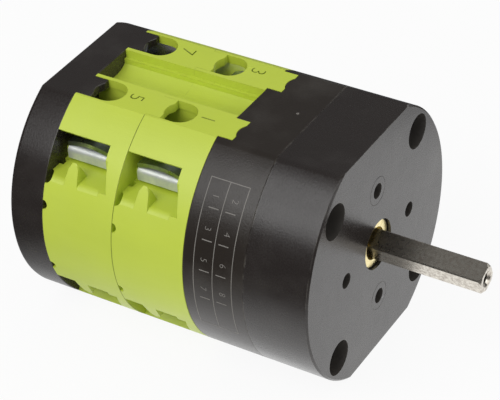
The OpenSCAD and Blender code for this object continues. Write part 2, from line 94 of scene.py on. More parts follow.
def paint(red: int, green: int, blue: int) -> Colour:
    """Turns a display colour into the linear colour that a shader takes.

    Args:
        red: Red, from 0 to 255.
        green: Green, from 0 to 255.
        blue: Blue, from 0 to 255.

    Returns:
        The linear colour.
    """
    def linear(value: int) -> float:
        """Undoes the display curve for one channel."""
        share = value / DISPLAY_MAX
        return share / 12.92 if share <= 0.04045 else ((share + 0.055) / 1.055) ** 2.4
    return linear(red), linear(green), linear(blue)


class Flat(Enum):
    """The flat on which a mark lies."""
    TOP = 1
    BOTTOM = -1


# Shader node groups

@dataclass
class ShaderNodes:
    """Adds nodes to one node tree and joins them.

    Attributes:
        tree: The node tree that is filled.
    """
    tree: bpy.types.NodeTree

    def add(self, kind: str, settings: dict[str, Any] | None = None,
            **sockets: Any) -> bpy.types.Node:
        """Adds one node.

        Args:
            kind: The node's type name, without the ShaderNode prefix.
            settings: Properties of the node, such as its operation.
            **sockets: Input values or links by socket name, with spaces written as underscores.

        Returns:
            The new node.
        """
        made = self.tree.nodes.new(f"ShaderNode{kind}")
        for name, value in (settings or {}).items():
            setattr(made, name, value)
        for name, value in sockets.items():
            self.feed(made.inputs[name.replace("_", " ")], value)
        return made

    def feed(self, socket: bpy.types.NodeSocket, value: Any) -> None:
        """Links another node's socket to an input, or sets its value.

        Args:
            socket: The input.
            value: Another node's output, or a plain value.
        """
        if isinstance(value, bpy.types.NodeSocket):
            self.tree.links.new(value, socket)
        else:
            socket.default_value = value

    def math(self, operation: str, first: Any, second: Any = 0.0,
             third: Any = 0.0) -> bpy.types.NodeSocket:
        """Adds a Math node.

        Args:
            operation: The sum that it does.
            first: First value or link.
            second: Second value or link.
            third: Third value or link, for sums that take one.

        Returns:
            Its result.
        """
        made = self.tree.nodes.new("ShaderNodeMath")
        made.operation = operation
        for socket, value in zip(made.inputs, (first, second, third)):
            self.feed(socket, value)
        return made.outputs[0]

    def blend(self, share: Any, first: Any, second: Any) -> bpy.types.NodeSocket:
        """Adds a colour Mix node.

        Args:
            share: Share of the second colour.
            first: First colour or link.
            second: Second colour or link.

        Returns:
            The mixed colour.
        """
        made = self.tree.nodes.new("ShaderNodeMix")
        made.data_type = "RGBA"
        self.feed(made.inputs["Factor"], share)
        self.feed(made.inputs[6], first)
        self.feed(made.inputs[7], second)
        return made.outputs[2]

    def mix(self, share: Any, first: bpy.types.Node, second: bpy.types.Node) -> bpy.types.Node:
        """Adds a Mix Shader node.

        Args:
            share: Share of the second shader, as a value or a link.
            first: First shader's node.
            second: Second shader's node.

        Returns:
            The new node.
        """
        made = self.add("MixShader")
        for socket, value in zip(made.inputs, (share, first.outputs[0], second.outputs[0])):
            self.feed(socket, value)
        return made

    def ramp(self, share: Any, low: float, high: float, out_low: float = 0.0,
             out_high: float = 1.0) -> bpy.types.NodeSocket:
        """Adds a clamped Map Range node.

        Args:
            share: The value or link that is mapped.
            low: Value that gives out_low.
            high: Value that gives out_high.
            out_low: Result at low.
            out_high: Result at high.

        Returns:
            The mapped value.
        """
        made = self.tree.nodes.new("ShaderNodeMapRange")
        for name, value in (("Value", share), ("From Min", low), ("From Max", high),
                            ("To Min", out_low), ("To Max", out_high)):
            self.feed(made.inputs[name], value)
        return made.outputs[0]

    def noise(self, place: Any, scale: Any, detail: float = 2.0) -> bpy.types.NodeSocket:
        """Adds a Noise Texture.

        Args:
            place: Link with the place on the surface.
            scale: How fine the noise is, as a value or a link.
            detail: How many finer layers it has.

        Returns:
            Its factor.
        """
        made = self.add("TexNoise", Vector=place, Scale=scale, Detail=detail, Roughness=0.55)
        return made.outputs["Fac"]

    def place(self, stretch: Point = (1, 1, 1)) -> bpy.types.NodeSocket:
        """Adds Object coordinates with a Mapping node.

        Args:
            stretch: Scale along X, Y and Z.

        Returns:
            The place on the surface.
        """
        source = self.add("TexCoord")
        made = self.add("Mapping", Vector=source.outputs["Object"], Scale=stretch)
        return made.outputs["Vector"]


def new_group(name: str, inputs: dict[str, tuple[str, Any]], outputs: dict[str, str]
              ) -> tuple[bpy.types.NodeTree, bpy.types.Node, bpy.types.Node]:
    """Makes an empty shader node group with named sockets.

    Args:
        name: The group's name.
        inputs: Socket type and start value by input name.
        outputs: Socket type by output name.

    Returns:
        The group's tree, its input node and its output node.
    """
    tree = bpy.data.node_groups.new(name, "ShaderNodeTree")
    for label, (kind, value) in inputs.items():
        socket = tree.interface.new_socket(label, in_out="INPUT", socket_type=f"NodeSocket{kind}")
        socket.default_value = value
    for label, kind in outputs.items():
        tree.interface.new_socket(label, in_out="OUTPUT", socket_type=f"NodeSocket{kind}")
    return tree, tree.nodes.new("NodeGroupInput"), tree.nodes.new("NodeGroupOutput")


@dataclass
class FinishLibrary:
    """The shader node groups that the finishes share, each built once.

    Attributes:
        groups: The groups made so far, by name.
    """
    groups: dict[str, bpy.types.NodeTree] = field(default_factory=dict)

    def moulded_skin(self) -> bpy.types.NodeTree:
        """Uneven colour, gloss and grain of a moulded plastic skin.

        Returns:
            The node group.
        """
        if "moulded_skin" not in self.groups:
            tree, given, result = new_group("moulded_skin", {
                "Tint": ("Color", (0.5, 0.5, 0.5, 1)), "Shade": ("Color", (0.4, 0.4, 0.4, 1)),
                "Mottle": ("Float", 0.5), "Gloss": ("Float", 0.4),
                "Gloss Spread": ("Float", 0.1), "Grain": ("Float", 0.2)}, SKIN_OUTPUTS)
            make = ShaderNodes(tree)
            place = make.place()
            clouds = make.noise(place, scale=45.0, detail=4.0)
            flow = make.noise(make.place((1, 0.25, 1)), scale=210.0, detail=3.0)
            specks = make.ramp(make.noise(place, scale=2600.0), low=0.38, high=0.62)
            uneven = make.math("ADD", make.math("MULTIPLY", clouds, 0.6),
                               make.math("MULTIPLY", flow, 0.4))
            share = make.math("MULTIPLY", make.ramp(uneven, low=0.35, high=0.65),
                              given.outputs["Mottle"])
            colour = make.blend(share, given.outputs["Tint"], given.outputs["Shade"])
            gloss = make.math("ADD", given.outputs["Gloss"], make.math(
                "MULTIPLY", given.outputs["Gloss Spread"], make.math("SUBTRACT", flow, NOISE_MEAN)))
            gloss = make.math("ADD", gloss, make.math("MULTIPLY", specks, 0.04))
            waves = make.add("Bump", Strength=0.10, Distance=0.12 * MM, Height=clouds)
            bump = make.add("Bump", Strength=given.outputs["Grain"], Distance=0.02 * MM,
                            Height=specks, Normal=waves.outputs[0])
            make.feed(result.inputs["Color"], colour)
            make.feed(result.inputs["Roughness"], gloss)
            make.feed(result.inputs["Normal"], bump.outputs[0])
            self.groups["moulded_skin"] = tree
        return self.groups["moulded_skin"]

    def handled_wear(self) -> bpy.types.NodeTree:
        """The edge colour along edges in patches, and a thin film of dust in patches.

        Returns:
            The node group.
        """
        if "handled_wear" not in self.groups:
            tree, given, result = new_group("handled_wear", {
                "Color": ("Color", (0.5, 0.5, 0.5, 1)),
                "Edge Color": ("Color", (0.7, 0.7, 0.7, 1)), "Edge Amount": ("Float", 0.3),
                "Dust Color": ("Color", (0.6, 0.58, 0.52, 1)), "Dust Amount": ("Float", 0.1)},
                {"Color": "Color"})
            make = ShaderNodes(tree)
            place = make.place()
            rounded = make.add("Bevel", {"samples": 4}, Radius=0.35 * MM)
            true = make.add("NewGeometry")
            apart = make.add("VectorMath", {"operation": "DOT_PRODUCT"})
            make.feed(apart.inputs[0], rounded.outputs[0])
            make.feed(apart.inputs[1], true.outputs["Normal"])
            edge = make.ramp(apart.outputs["Value"], low=0.995, high=0.86)
            patchy = make.ramp(make.noise(place, scale=420.0, detail=5.0), low=0.42, high=0.62)
            edge_share = make.math("MULTIPLY", make.math("MULTIPLY", edge, patchy),
                             given.outputs["Edge Amount"])
            dusty = make.ramp(make.noise(place, scale=60.0, detail=6.0), low=0.5, high=0.75)
            film = make.math("MULTIPLY", dusty, given.outputs["Dust Amount"])
            colour = make.blend(edge_share, given.outputs["Color"], given.outputs["Edge Color"])
            make.feed(result.inputs["Color"],
                      make.blend(film, colour, given.outputs["Dust Color"]))
            self.groups["handled_wear"] = tree
        return self.groups["handled_wear"]

    def metal_skin(self) -> bpy.types.NodeTree:
        """Fine lines along one way, soft blotches and uneven gloss of a metal surface.

        Returns:
            The node group.
        """
        if "metal_skin" not in self.groups:
            tree, given, result = new_group("metal_skin", {
                "Place": ("Vector", (0, 0, 0)), "Tint": ("Color", (0.7, 0.7, 0.7, 1)),
                "Stain": ("Color", (0.5, 0.5, 0.5, 1)), "Stain Amount": ("Float", 0.4),
                "Stain Scale": ("Float", 240.0), "Gloss": ("Float", 0.25),
                "Lines": ("Float", 0.3)}, SKIN_OUTPUTS)
            make = ShaderNodes(tree)
            lines = make.noise(given.outputs["Place"], scale=900.0, detail=3.0)
            clouds = make.noise(make.place(), scale=given.outputs["Stain Scale"], detail=5.0)
            share = make.math("MULTIPLY", make.ramp(clouds, low=0.38, high=0.68),
                              given.outputs["Stain Amount"])
            colour = make.blend(share, given.outputs["Tint"], given.outputs["Stain"])
            gloss = make.math("ADD", given.outputs["Gloss"], make.math("MULTIPLY", share, 0.22))
            gloss = make.math("ADD", gloss, make.math(
                "MULTIPLY", make.math("SUBTRACT", lines, NOISE_MEAN), 0.16))
            bump = make.add("Bump", Strength=given.outputs["Lines"], Distance=0.01 * MM,
                            Height=lines)
            make.feed(result.inputs["Color"], colour)
            make.feed(result.inputs["Roughness"], gloss)
            make.feed(result.inputs["Normal"], bump.outputs[0])
            self.groups["metal_skin"] = tree
        return self.groups["metal_skin"]


# Finishes

@dataclass(frozen=True)
class Finish(ABC):
    """A finish that makes one material.

    Attributes:
        name: The material's name.
    """
    name: str

    def material(self, library: FinishLibrary) -> bpy.types.Material:
        """Gives this finish's material, and makes it the first time.

        Args:
            library: The shared shader node groups.

        Returns:
            The material.
        """
        found = bpy.data.materials.get(self.name)
        if found is not None:
            return found
        made = bpy.data.materials.new(self.name)
        made.use_nodes = True
        made.node_tree.nodes.clear()
        nodes = ShaderNodes(made.node_tree)
        shader = nodes.add("BsdfPrincipled")
        nodes.add("OutputMaterial", Surface=shader.outputs[0])
        self.fill(nodes, shader, library)
        return made

    @abstractmethod
    def fill(self, nodes: ShaderNodes, shader: bpy.types.Node, library: FinishLibrary) -> None:
        """Feeds the shader's sockets.

        Args:
            nodes: The material's nodes.
            shader: Its Principled BSDF.
            library: The shared shader node groups.
        """


@dataclass(frozen=True)
class MouldedPlastic(Finish):
    """A moulded plastic with an uneven skin, a colour along its edges and dust.

    Attributes:
        tint: Main colour.
        shade: Colour of the darker clouds in it.
        mottle: Share of the clouds.
        gloss: Roughness.
        gloss_spread: Change of the roughness over the surface.
        grain: Strength of the fine grain.
        edge: Colour along the edges.
        edge_amount: Share of the edge colour.
        dust: Share of dust.
        shine: Index of refraction.
    """
    tint: Colour
    shade: Colour
    mottle: float = 0.6
    gloss: float = 0.4
    gloss_spread: float = 0.12
    grain: float = 0.25
    edge: Colour = (0.8, 0.8, 0.8)
    edge_amount: float = 0.2
    dust: float = 0.08
    shine: float = 1.5

    def fill(self, nodes: ShaderNodes, shader: bpy.types.Node, library: FinishLibrary) -> None:
        """Feeds the shader with the skin, the edge colour and the dust.

        Args:
            nodes: The material's nodes.
            shader: Its Principled BSDF.
            library: The shared shader node groups.
        """
        skin = nodes.add("Group", {"node_tree": library.moulded_skin()}, Tint=(*self.tint, 1),
                         Shade=(*self.shade, 1), Mottle=self.mottle, Gloss=self.gloss,
                         Gloss_Spread=self.gloss_spread, Grain=self.grain)
        wear = nodes.add("Group", {"node_tree": library.handled_wear()},
                         Color=skin.outputs["Color"], Edge_Color=(*self.edge, 1),
                         Edge_Amount=self.edge_amount, Dust_Amount=self.dust)
        nodes.feed(shader.inputs["Base Color"], wear.outputs["Color"])
        nodes.feed(shader.inputs["Roughness"], skin.outputs["Roughness"])
        nodes.feed(shader.inputs["Normal"], skin.outputs["Normal"])
        shader.inputs["IOR"].default_value = self.shine


@dataclass(frozen=True)
class WorkedMetal(Finish):
    """A metal with lines along one way, or round an axis where it was turned.

    Attributes:
        tint: Main colour.
        stain: Colour of its blotches.
        stain_amount: Share of the blotches.
        stain_scale: How fine the blotches are.
        gloss: Roughness.
        lines: Strength of the fine lines.
        metal: Share of bare metal, less where a matt plating scatters light.
        stretch: Scale of the line pattern along X, Y and Z: a small value draws lines that way.
    """
    tint: Colour
    stain: Colour
    stain_amount: float = 0.4
    stain_scale: float = 240.0
    gloss: float = 0.25
    lines: float = 0.25
    metal: float = 1.0
    stretch: Point = (1, 0.04, 1)

    def fill(self, nodes: ShaderNodes, shader: bpy.types.Node, library: FinishLibrary) -> None:
        """Feeds the shader with the metal's skin.

        Args:
            nodes: The material's nodes.
            shader: Its Principled BSDF.
            library: The shared shader node groups.
        """
        skin = nodes.add("Group", {"node_tree": library.metal_skin()},
                         Place=nodes.place(self.stretch), Tint=(*self.tint, 1),
                         Stain=(*self.stain, 1), Stain_Amount=self.stain_amount,
                         Stain_Scale=self.stain_scale, Gloss=self.gloss, Lines=self.lines)
        nodes.feed(shader.inputs["Base Color"], skin.outputs["Color"])
        nodes.feed(shader.inputs["Roughness"], skin.outputs["Roughness"])
        nodes.feed(shader.inputs["Normal"], skin.outputs["Normal"])
        shader.inputs["Metallic"].default_value = self.metal


BLACK_BODY = MouldedPlastic(
    "black_body", tint=paint(39, 34, 32), shade=paint(46, 41, 38), gloss=0.25, grain=0.30,
    edge=paint(124, 120, 112), edge_amount=0.55, dust=0.03, mottle=0.25)
# Painted light: the black plastic is painted lighter inside the wells and panel holes, standing in
# for light that falls into them.
WELL_PAINTED_LIGHT = MouldedPlastic(
    "well_painted_light", tint=paint(84, 80, 75), shade=paint(68, 64, 60), gloss=0.38, grain=0.30,
    edge_amount=0.0, dust=0.06, mottle=0.5)
BLACK_INDEX = MouldedPlastic(
    "black_index", tint=paint(39, 33, 28), shade=paint(47, 40, 34), gloss=0.31, grain=0.45,
    edge=paint(130, 124, 112), edge_amount=0.55, dust=0.04, mottle=0.3)
LIME_DECK = MouldedPlastic(
    "lime_deck", tint=paint(197, 214, 66), shade=paint(189, 206, 62), gloss=0.42, grain=0.30,
    edge=paint(150, 164, 52), edge_amount=0.5, dust=0.03, mottle=0.6, shine=1.62)
CREAM_WORKS = MouldedPlastic(
    "cream_works", tint=paint(222, 214, 196), shade=paint(208, 198, 178), gloss=0.45, grain=0.3,
    edge=paint(240, 236, 225), edge_amount=0.15, dust=0.05)
SHAFT_BAR = WorkedMetal(
    "shaft_bar", tint=paint(204, 199, 188), stain=paint(120, 106, 96), stain_amount=0.6,
    stain_scale=1500, gloss=0.24, lines=0.45, stretch=(1, 0.03, 1))
ZINC_SCREW = WorkedMetal(
    "zinc_screw", tint=paint(205, 208, 210), stain=paint(166, 172, 178), stain_amount=0.5,
    gloss=0.26, lines=0.15, stretch=(1, 1, 0.2))
SPRING_WIRE = WorkedMetal(
    "spring_wire", tint=paint(196, 196, 192), stain=paint(150, 148, 140), gloss=0.22, lines=0.1,
    stretch=(0.3, 1, 1))
TURNED_BRASS = WorkedMetal(
    "turned_brass", tint=paint(236, 222, 168), stain=paint(206, 184, 122), stain_amount=0.4,
    stain_scale=700, gloss=0.24, lines=0.2, stretch=(1, 0.1, 1))
PRESSED_CONTACT = WorkedMetal(
    "pressed_contact", tint=paint(222, 224, 220), stain=paint(196, 204, 208), stain_amount=0.5,
    stain_scale=900, gloss=0.40, metal=0.5, lines=0.2, stretch=(0.15, 1, 1))
SPRUNG_SADDLE = WorkedMetal(
    "sprung_saddle", tint=paint(196, 204, 204), stain=paint(140, 152, 164), stain_amount=0.6,
    stain_scale=500, gloss=0.28, lines=0.2, stretch=(0.15, 1, 1))
# Painted shade: a darker lime inside the sunk figures and the joint groove of the decks, for the
# shade in these recesses.
LIME_RECESS_SHADE = MouldedPlastic(
    "lime_recess_shade", tint=paint(138, 152, 40), shade=paint(126, 140, 36), gloss=0.55,
    edge_amount=0.0, dust=0.0)
LABEL_INK = MouldedPlastic(
    "label_ink", tint=paint(132, 128, 122), shade=paint(112, 108, 103), gloss=0.5, grain=0.2,
    edge_amount=0.0, dust=0.0, mottle=0.8)

NODE_FINISHES: dict[str, Finish] = {
    "front_housing": BLACK_BODY, "index_housing": BLACK_INDEX, "end_plate": BLACK_BODY,
    "contact_deck": LIME_DECK, "drive_shaft": SHAFT_BAR, "shaft_collar": TURNED_BRASS,
    "shaft_clip": SPRING_WIRE, "stop_disc": ZINC_SCREW, "stop_keys": TURNED_BRASS,
    "star_wheel": CREAM_WORKS, "detent_spring": SPRING_WIRE, "cam": CREAM_WORKS,
    "plunger": CREAM_WORKS, "contact_bridge": TURNED_BRASS, "contact_spring": SPRING_WIRE,
    "fixed_contact": PRESSED_CONTACT, "clamp_saddle": SPRUNG_SADDLE,
    "terminal_screws": ZINC_SCREW, "housing_screws": ZINC_SCREW, "tie_screws": ZINC_SCREW,
    "tie_nuts": TURNED_BRASS}


def finish_for(node_name: str) -> Finish:
    """Returns the finish of a CAD node by the longest name that it starts with."""
    fits = [key for key in NODE_FINISHES if node_name.startswith(key)]
    return NODE_FINISHES[max(fits, key=len)]


# Studio

@dataclass(frozen=True)
class Lamp:
    """A soft square lamp that faces the object.

    Attributes:
        name: The lamp's name.
        way: Direction from the object to the lamp.
        distance: From the lamps' common aim to the lamp, in metres.
        size: Width of the lamp, in metres.
        power: Watts.
        aim: The point that it faces.
    """
    name: str
    way: Point
    distance: float
    size: float
    power: float
    aim: Point = (0, 30 * MM, 0)

    def hang(self) -> None:
        """Makes the lamp at its place."""
        data = bpy.data.lights.new(self.name, "AREA")
        data.shape = "SQUARE"
        data.size = self.size
        data.energy = self.power
        made = bpy.data.objects.new(self.name, data)
        bpy.context.scene.collection.objects.link(made)
        direction = Vector(self.way).normalized()
        made.location = Vector(self.aim) + direction * self.distance
        made.rotation_euler = direction.to_track_quat("Z", "Y").to_euler()


LAMPS = (
    Lamp("softbox", (-0.66, 0.16, 0.73), distance=0.55, size=0.42, power=1.75),
    Lamp("front_fill", (0.15, -0.97, 0.20), distance=0.9, size=0.6, power=2.6),
    Lamp("far_card", (0.45, 0.33, 0.82), distance=0.9, size=1.1, power=0.6),
    Lamp("right_fill", (0.95, -0.12, 0.24), distance=0.9, size=0.7, power=2.0))


@dataclass
class Studio:
    """The floor, the lights and the camera.

    Attributes:
        floor_z: Height of the floor.
        view_turn: Turn of the camera round the object, in degrees, 0 along +Y.
        view_rise: Angle of the camera over the floor, in degrees.
        view_roll: Tilt of the picture, in degrees.
        distance: From the aim point to the camera.
        focal_px: Focal length in pixels of the photograph.
        sensor: Width of the camera's sensor, in millimetres.
        nearest: Distance from which the camera sees, in metres.
        farthest: Distance up to which it sees, in metres.
        aim: The point in the middle of the picture.
        floor_width: Width of the floor, in metres.
        floor_white: Share of plain white that the camera sees on the floor.
        pool_middle: Middle of the floor and of its painted glow, a patch that shines in glossy
            surfaces.
        pool_inner: Radius to which the painted glow on the floor is full in glossy surfaces.
        pool_outer: Radius from which the painted glow is least.
        shine: Strength of the painted glow there.
        least_shine: Strength of the painted glow on the rest of the floor.
        room_fill: Strength of the room's even light.
        room_shine: Strength of the room in glossy surfaces.
    """
    floor_z: float
    view_turn: float = -57.102
    view_rise: float = 36.451
    view_roll: float = -3.272
    distance: float = 374.995 * MM
    focal_px: float = 2048.861
    sensor: float = 36
    nearest: float = 0.01
    farthest: float = 20
    aim: Point = (-48.990 * MM, 0.0, 43.955 * MM)
    floor_width: float = 6
    floor_white: float = 0.92
    # The pool of painted glow that glossy surfaces see on the floor.
    pool_middle: tuple[float, float] = (10 * MM, -5 * MM)
    pool_inner: float = 64 * MM
    pool_outer: float = 114 * MM
    shine: float = 1.3
    least_shine: float = 0.08
    room_fill: float = 0.40
    room_shine: float = 0.05

    def build(self) -> None:
        """Makes the whole studio."""
        self.camera()
        self.floor()
        self.world()
        for lamp in LAMPS:
            lamp.hang()
        bpy.context.scene.view_settings.view_transform = "Standard"

    def camera(self) -> None:
        """Sets the camera at the photograph's place."""
        turn = math.radians(self.view_turn)
        rise = math.radians(self.view_rise)
        roll = math.radians(self.view_roll)
        back = Vector((math.sin(turn) * math.cos(rise), -math.cos(turn) * math.cos(rise),
                       math.sin(rise)))
        level = Vector((math.cos(turn), math.sin(turn), 0))
        upright = back.cross(level)
        right = level * math.cos(roll) + upright * math.sin(roll)
        up = upright * math.cos(roll) - level * math.sin(roll)
        data = bpy.data.cameras.new("camera")
        data.sensor_fit = "HORIZONTAL"
        data.sensor_width = self.sensor
        data.lens = self.sensor * self.focal_px / PHOTO_WIDTH
        data.clip_start = self.nearest
        data.clip_end = self.farthest
        made = bpy.data.objects.new("camera", data)
        bpy.context.scene.collection.objects.link(made)
        place = Matrix.Translation(Vector(self.aim) + back * self.distance)
        made.matrix_world = place @ Matrix((right, up, back)).transposed().to_4x4()
        bpy.context.scene.camera = made

    def floor(self) -> None:
        """Lays the pale floor, which the camera sees as white apart from a faint shadow, and which
        glossy surfaces see with a painted glow, bright near the object and faint further out.
        """
        bpy.ops.object.select_all(action="DESELECT")
        bpy.ops.mesh.primitive_plane_add(size=self.floor_width,
                                         location=(*self.pool_middle, self.floor_z))
        floor = bpy.context.object
        floor.name = "floor"
        material = bpy.data.materials.new("pale_floor")
        material.use_nodes = True
        material.node_tree.nodes.clear()
        nodes = ShaderNodes(material.node_tree)
        shade = nodes.add("BsdfDiffuse", Color=(0.82, 0.82, 0.81, 1))
        rays = nodes.add("LightPath")
        glossy = rays.outputs["Is Glossy Ray"]
        near = nodes.add("VectorMath", {"operation": "LENGTH"})
        nodes.feed(near.inputs[0], nodes.place())
        # Painted glow: only glossy rays see the floor give off light, and they see it strongest
        # near the object.
        painted_glow = nodes.ramp(near.outputs["Value"], low=self.pool_inner, high=self.pool_outer,
                          out_low=self.shine, out_high=self.least_shine)
        strength = nodes.math("MULTIPLY_ADD", glossy, nodes.math("SUBTRACT", painted_glow, 1.0), 1.0)
        glow = nodes.add("Emission", Color=(1, 1, 1, 1), Strength=strength)
        seen = nodes.math("MULTIPLY", rays.outputs["Is Camera Ray"], self.floor_white)
        mixed = nodes.mix(nodes.math("MAXIMUM", seen, glossy), shade, glow)
        nodes.add("OutputMaterial", Surface=mixed.outputs[0])
        floor.data.materials.append(material)
        floor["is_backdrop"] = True

    def world(self) -> None:
        """Sets the even light of the room, white where the camera looks at it."""
        world = bpy.data.worlds.new("room")
        bpy.context.scene.world = world
        world.use_nodes = True
        world.node_tree.nodes.clear()
        nodes = ShaderNodes(world.node_tree)
        rays = nodes.add("LightPath")
        fill = nodes.add("Background", Color=(0.95, 0.97, 1.0, 1), Strength=self.room_fill)
        gloss = nodes.add("Background", Color=(1, 1, 1, 1), Strength=self.room_shine)
        white = nodes.add("Background", Color=(1, 1, 1, 1), Strength=1.0)
        unseen = nodes.mix(rays.outputs["Is Glossy Ray"], fill, gloss)
        seen = nodes.mix(rays.outputs["Is Camera Ray"], unseen, white)
        nodes.add("OutputWorld", Surface=seen.outputs[0])


# Mesh work

def pick(*items: bpy.types.Object) -> None:
    """Selects these objects alone and makes the first one active.

    Args:
        *items: The objects.
    """
    bpy.ops.object.select_all(action="DESELECT")
    for item in items:
        item.select_set(True)
    bpy.context.view_layer.objects.active = items[0]


def apply_modifier(item: bpy.types.Object, kind: str, **settings: Any) -> None:
    """Adds a modifier and applies it.

    Args:
        item: The object.
        kind: The modifier's type.
        **settings: Its properties.
    """
    pick(item)
    made = item.modifiers.new(kind.lower(), kind)
    for name, value in settings.items():
        setattr(made, name, value)
    bpy.ops.object.modifier_apply(modifier=made.name)


def settle(item: bpy.types.Object) -> None:
    """Moves an object's place into its mesh.

    Args:
        item: The object.
    """
    pick(item)
    bpy.ops.object.transform_apply(location=True, rotation=True, scale=True)


def groove_ring(radius: float, width: float, segments: int, middle: Point) -> bpy.types.Object:
    """Makes a thin closed ring round the body's axis, to cut a groove with.

    Args:
        radius: Radius of the ring.
        width: Half the width of the groove.
        segments: How many sides the ring has.
        middle: The ring's middle.

    Returns:
        The mesh object.
    """
    bpy.ops.object.select_all(action="DESELECT")
    bpy.ops.mesh.primitive_torus_add(
        major_radius=radius, minor_radius=width, major_segments=segments, minor_segments=8,
        location=middle, rotation=(math.pi / 2, 0, 0))
    made = bpy.context.object
    settle(made)
    return made


def lettered(words: str, size: float, thickness: float, slim: float = 0.018,
             curve_steps: int = 4) -> bpy.types.Object:
    """Makes plain figures as a closed mesh that lies round the origin.

    Args:
        words: The figures.
        size: Their type size.
        thickness: Depth through the mesh, half to each side.
        slim: Share of the type size by which the strokes are thinned on each side.
        curve_steps: Steps in each curve.

    Returns:
        The mesh object.
    """
    bpy.ops.object.select_all(action="DESELECT")
    bpy.ops.object.text_add()
    made = bpy.context.object
    made.data.body = words
    made.data.size = size
    made.data.extrude = thickness / 2
    made.data.offset = -slim * size
    made.data.resolution_u = curve_steps
    made.data.align_x = "CENTER"
    made.data.align_y = "CENTER"
    pick(made)
    bpy.ops.object.convert(target="MESH")
    made = bpy.context.object
    bpy.ops.object.mode_set(mode="EDIT")
    bpy.ops.mesh.select_all(action="SELECT")
    bpy.ops.mesh.remove_doubles(threshold=MERGE_GAP)
    bpy.ops.mesh.normals_make_consistent(inside=False)
    bpy.ops.object.mode_set(mode="OBJECT")
    return made


@dataclass
class Shell:
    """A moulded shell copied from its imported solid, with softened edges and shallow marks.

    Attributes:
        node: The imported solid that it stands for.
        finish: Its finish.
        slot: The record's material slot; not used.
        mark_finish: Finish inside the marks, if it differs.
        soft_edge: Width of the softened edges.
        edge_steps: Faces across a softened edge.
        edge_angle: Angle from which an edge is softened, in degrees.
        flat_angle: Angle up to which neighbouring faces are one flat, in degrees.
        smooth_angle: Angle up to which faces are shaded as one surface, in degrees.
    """
    node: bpy.types.Object
    finish: Finish
    slot: str
    mark_finish: Finish | None = None
    soft_edge: float = 0.18 * MM
    edge_steps: int = 2
    edge_angle: float = 40
    flat_angle: float = 0.5
    smooth_angle: float = 28

    def copied(self) -> bpy.types.Object:
        """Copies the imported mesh, merges its loose triangles and softens its edges.

        Returns:
            The copy.
        """
        made = self.node.copy()
        made.data = self.node.data.copy()
        made.name = f"{self.node.name}_shell"
        made.parent = None
        bpy.context.scene.collection.objects.link(made)
        pick(made)
        bpy.ops.object.mode_set(mode="EDIT")
        bpy.ops.mesh.select_all(action="SELECT")
        bpy.ops.mesh.remove_doubles(threshold=2 * MERGE_GAP)
        bpy.ops.mesh.dissolve_limited(angle_limit=math.radians(self.flat_angle))
        bpy.ops.object.mode_set(mode="OBJECT")
        apply_modifier(made, "BEVEL", width=self.soft_edge, segments=self.edge_steps,
                       limit_method="ANGLE", angle_limit=math.radians(self.edge_angle),
                       use_clamp_overlap=True)
        return made

    def cut(self, shell: bpy.types.Object, cutter: bpy.types.Object) -> None:
        """Cuts one closed mesh out of the shell and removes it.

        Args:
            shell: The shell.
            cutter: The closed mesh, which is deleted afterwards.
        """
        apply_modifier(shell, "BOOLEAN", object=cutter, operation="DIFFERENCE",
                       solver="MANIFOLD", material_mode="TRANSFER")
        if not shell.data.polygons:
            raise ValueError(f"{cutter.name} left nothing of {shell.name}")
        bpy.data.objects.remove(cutter)

    def build(self, cutters: Iterable[bpy.types.Object],
              library: FinishLibrary) -> bpy.types.Object:
        """Makes the finished shell.

        Args:
            cutters: Closed meshes in place, one for each mark.
            library: The shared shader node groups.

        Returns:
            The shell.
        """
        made = self.copied()
        made.data.materials.clear()
        made.data.materials.append(self.finish.material(library))
        for cutter in cutters:
            if self.mark_finish is not None:
                cutter.data.materials.append(self.mark_finish.material(library))
            self.cut(made, cutter)
        pick(made)
        bpy.ops.object.shade_smooth_by_angle(angle=math.radians(self.smooth_angle))
        apply_modifier(made, "WEIGHTED_NORMAL", keep_sharp=True)
        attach(made, "housing")
        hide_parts(self.node.name)
        LOG.info("shell %s with %d faces", made.name, len(made.data.polygons))
        return made


@dataclass
class DeckFigures:
    """The figures sunk into the flats of a contact deck, odd above and even below.

    Attributes:
        front: The deck's front face.
        flat: Height of its flats.
        first: The lowest figure on it.
        left: Place of the left figure.
        right: Place of the right figure.
        set_back: From the front face to the middle of a figure.
        size: Type size.
        depth: How deep a figure is sunk.
    """
    front: float
    flat: float
    first: int
    left: float = -9.4 * MM
    right: float = 11.0 * MM
    set_back: float = 5.2 * MM
    size: float = 5.0 * MM
    depth: float = 0.25 * MM

    def cutters(self) -> Iterable[bpy.types.Object]:
        """Gives one closed mesh for each figure.

        Yields:
            The figures from left to right, the upper one first at each place.
        """
        for step, side in enumerate((self.left, self.right)):
            for flat in Flat:
                figure = self.first + 2 * step + (0 if flat is Flat.TOP else 1)
                made = lettered(str(figure), self.size, 2 * self.depth)
                made.rotation_euler = (0, 0, math.pi) if flat is Flat.TOP else (math.pi, 0, 0)
                made.location = (side, self.front + self.set_back, flat.value * self.flat)
                settle(made)
                yield made


